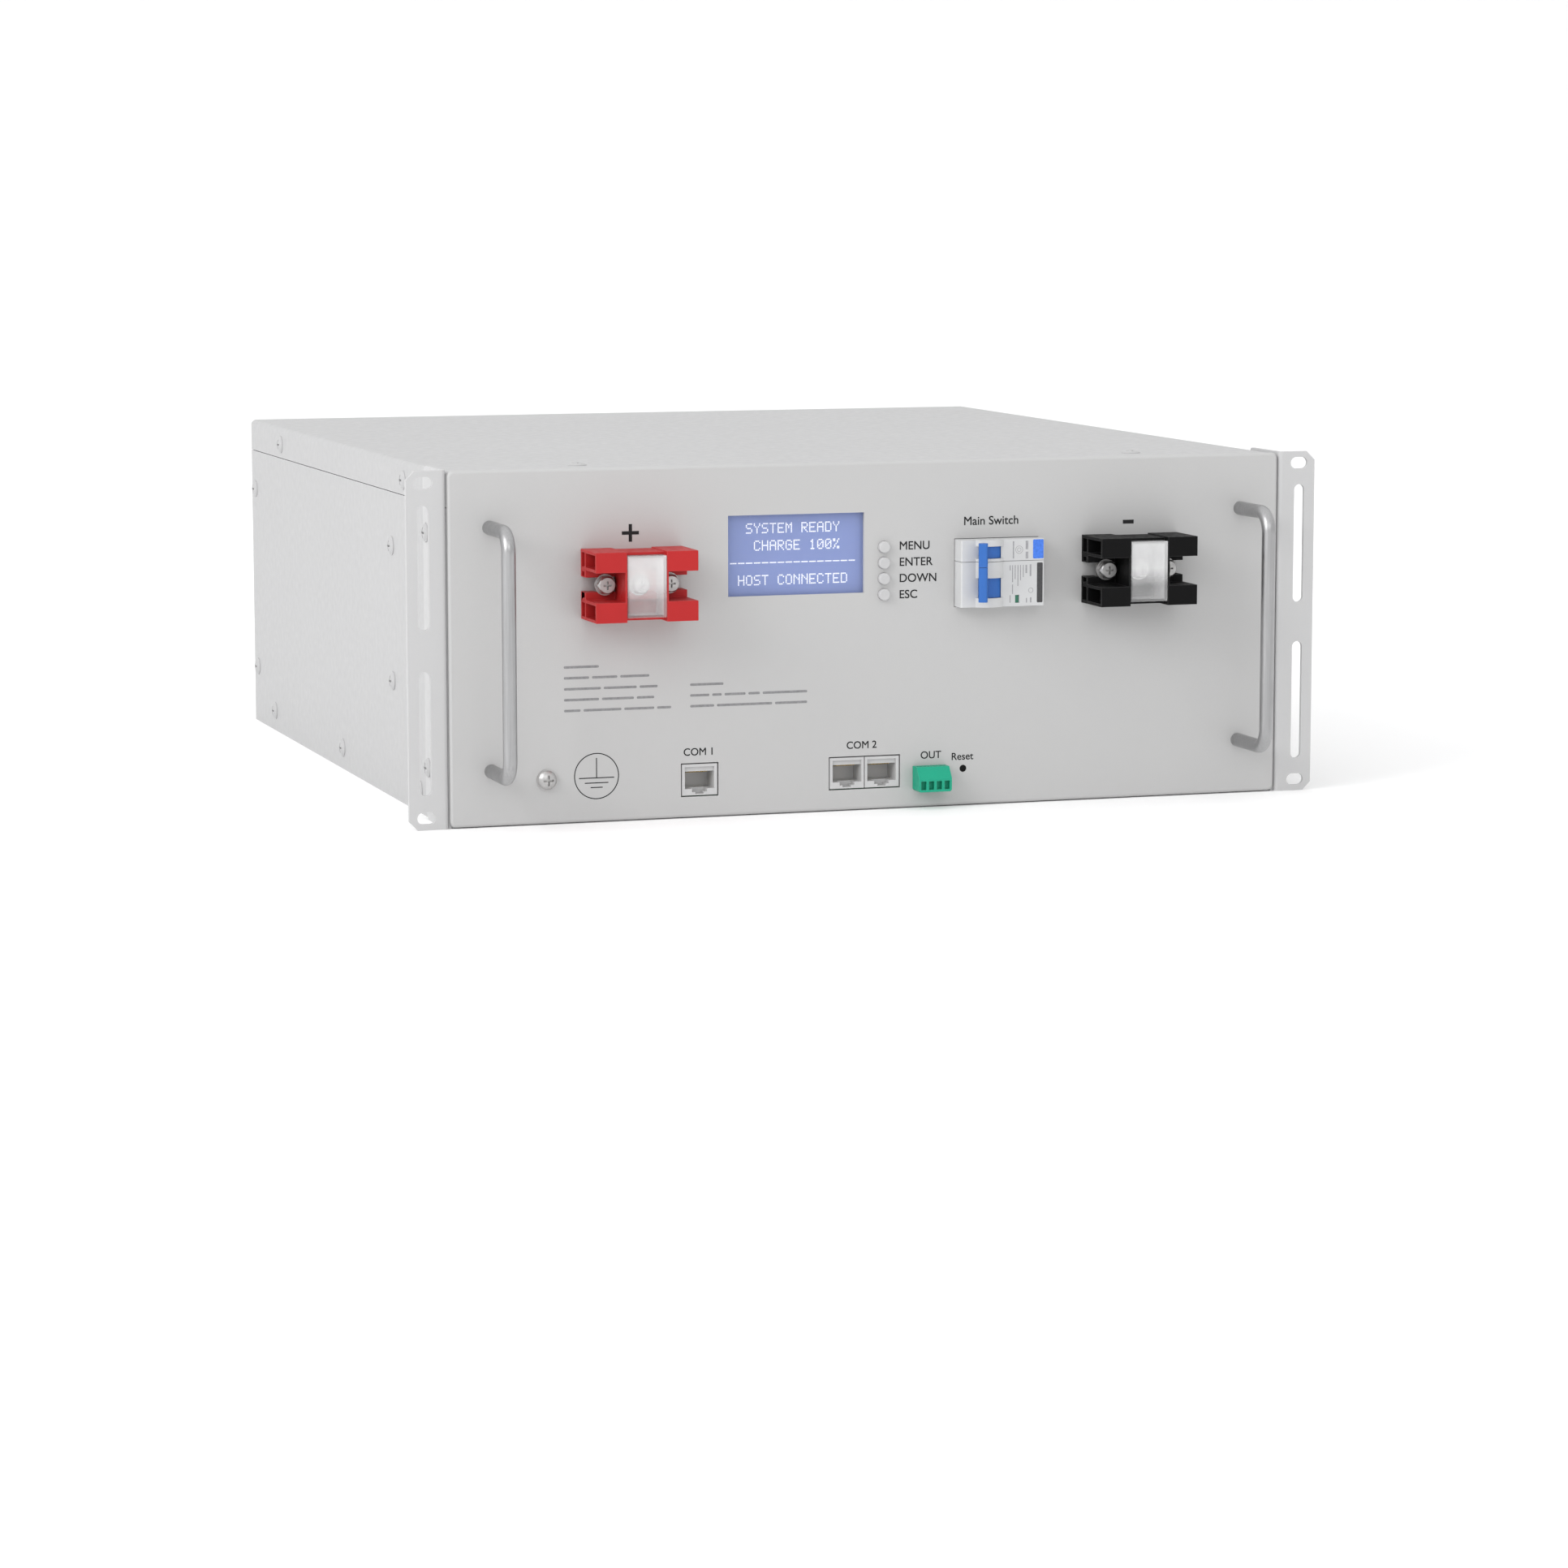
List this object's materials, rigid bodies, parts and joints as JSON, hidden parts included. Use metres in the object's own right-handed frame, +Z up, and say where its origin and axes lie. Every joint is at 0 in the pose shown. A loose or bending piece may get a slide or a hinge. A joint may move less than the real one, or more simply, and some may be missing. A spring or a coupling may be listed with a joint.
{
  "type": "server rack battery",
  "caption": "Rack-mount battery case with slotted ears, pull handles, covered power terminals, main switch, display, buttons and network sockets.",
  "frame": {"origin": "under the middle of the unit, handles included, on the surface it rests on", "axes": "+X to the right seen from the front, +Y from the front panel to the rear, +Z up"},
  "size_m": [0.4826, 0.5136, 0.1773],
  "materials": {
    "case_paint": "fine light grey powder coat",
    "ear_paint": "fine light grey powder coat",
    "panel_paint": "fine light grey powder coat, printed front",
    "handle_metal": "satin grey",
    "zinc_steel": "bright zinc plate",
    "positive_plastic": "red moulded",
    "negative_plastic": "black moulded",
    "tinned_copper": "tinned copper",
    "clear_plastic": "clear moulded polycarbonate",
    "display_window": "clear hard-coated acrylic",
    "display_face": "blue display in a steel frame",
    "circuit_board": "green solder mask",
    "button_plastic": "light grey moulded",
    "switch_plastic": "off-white moulded",
    "lever_plastic": "blue moulded",
    "flag_plastic": "green and red moulded",
    "jack_plastic": "grey moulded",
    "gold_contact": "gold flash",
    "plug_plastic": "green moulded",
    "black_plastic": "black moulded",
    "galvanised": "galvanised sheet",
    "cell_can": "plain drawn aluminium",
    "aluminium": "extruded",
    "red_cable": "red sheath",
    "black_cable": "black sheath",
    "insulation": "glass-fibre laminate"
  },
  "bodies": {
    "case": {"aux_switch_housing": "switch_plastic", "bms_board": "circuit_board", "bms_heatsink": "aluminium", "bottom_tray": "case_paint", "bulkhead": "galvanised", "case_screws": "case_paint", "cell_end_plates": "aluminium", "cell_links": "aluminium", "cell_module_1": "cell_can", "cell_module_2": "cell_can", "cell_module_3": "cell_can", "cell_module_4": "cell_can", "din_rail": "galvanised", "display_board": "circuit_board", "display_module": "display_face", "display_window": "display_window", "front_panel": "panel_paint", "ground_screw": "zinc_steel", "insulation_sheet": "insulation", "interface_board": "circuit_board", "jack_contacts": "gold_contact", "left_ear": "ear_paint", "left_handle": "handle_metal", "left_side_panel": "case_paint", "lever_pins": "zinc_steel", "main_switch_housing": "switch_plastic", "negative_busbar": "tinned_copper", "negative_cable": "black_cable", "negative_terminal_block": "negative_plastic", "network_jack": "jack_plastic", "network_jack_pair": "jack_plastic", "output_header": "plug_plastic", "panel_rear_screws": "zinc_steel", "positive_busbar": "tinned_copper", "positive_cable": "red_cable", "positive_terminal_block": "positive_plastic", "rear_panel": "case_paint", "reset_switch": "black_plastic", "right_ear": "ear_paint", "right_handle": "handle_metal", "right_side_panel": "case_paint", "switch_bracket": "galvanised", "switch_feed_cable": "black_cable", "switch_output_cable": "black_cable", "terminal_bolts": "zinc_steel", "terminal_washers": "zinc_steel", "tie_rods": "zinc_steel", "top_cover": "case_paint"},
    "switch_lever": {"main_lever": "lever_plastic", "aux_lever": "lever_plastic"},
    "indicator": {"contact_flag": "flag_plastic"},
    "menu": {"menu_button": "button_plastic"},
    "enter": {"enter_button": "button_plastic"},
    "down": {"down_button": "button_plastic"},
    "escape": {"escape_button": "button_plastic"},
    "reset": {"reset_plunger": "black_plastic"},
    "positive_cap": {"positive_terminal_cover": "clear_plastic"},
    "negative_cap": {"negative_terminal_cover": "clear_plastic"},
    "plug": {"output_plug": "plug_plastic", "output_plug_screws": "zinc_steel"}
  },
  "joints": [
    {"name": "switch_throw", "type": "hinge", "parent": "case", "child": "switch_lever", "pos_m": [0.0585, -0.2182, 0.118], "axis": [0, 0, 1], "range_deg": [0, 45]},
    {"name": "indicator_slide", "type": "slide", "parent": "case", "child": "indicator", "axis": [-1, 0, 0], "range_m": [0, 0.0026]},
    {"name": "menu_press", "type": "slide", "parent": "case", "child": "menu", "axis": [0, 1, 0], "range_m": [0, 0.0008], "stiffness_N_per_m": 800},
    {"name": "enter_press", "type": "slide", "parent": "case", "child": "enter", "axis": [0, 1, 0], "range_m": [0, 0.0008], "stiffness_N_per_m": 800},
    {"name": "down_press", "type": "slide", "parent": "case", "child": "down", "axis": [0, 1, 0], "range_m": [0, 0.0008], "stiffness_N_per_m": 800},
    {"name": "escape_press", "type": "slide", "parent": "case", "child": "escape", "axis": [0, 1, 0], "range_m": [0, 0.0008], "stiffness_N_per_m": 800},
    {"name": "reset_press", "type": "slide", "parent": "case", "child": "reset", "axis": [0, 1, 0], "range_m": [0, 0.001], "stiffness_N_per_m": 600},
    {"name": "positive_cap_pull", "type": "slide", "parent": "case", "child": "positive_cap", "axis": [0, -1, 0], "range_m": [0, 0.02]},
    {"name": "negative_cap_pull", "type": "slide", "parent": "case", "child": "negative_cap", "axis": [0, -1, 0], "range_m": [0, 0.02]},
    {"name": "plug_pull", "type": "slide", "parent": "case", "child": "plug", "axis": [0, -1, 0], "range_m": [0, 0.012]}
  ],
  "couplings": [
    {"joint": "indicator_slide", "follows": "switch_throw", "m_per_rad": 0.0033}
  ]
}
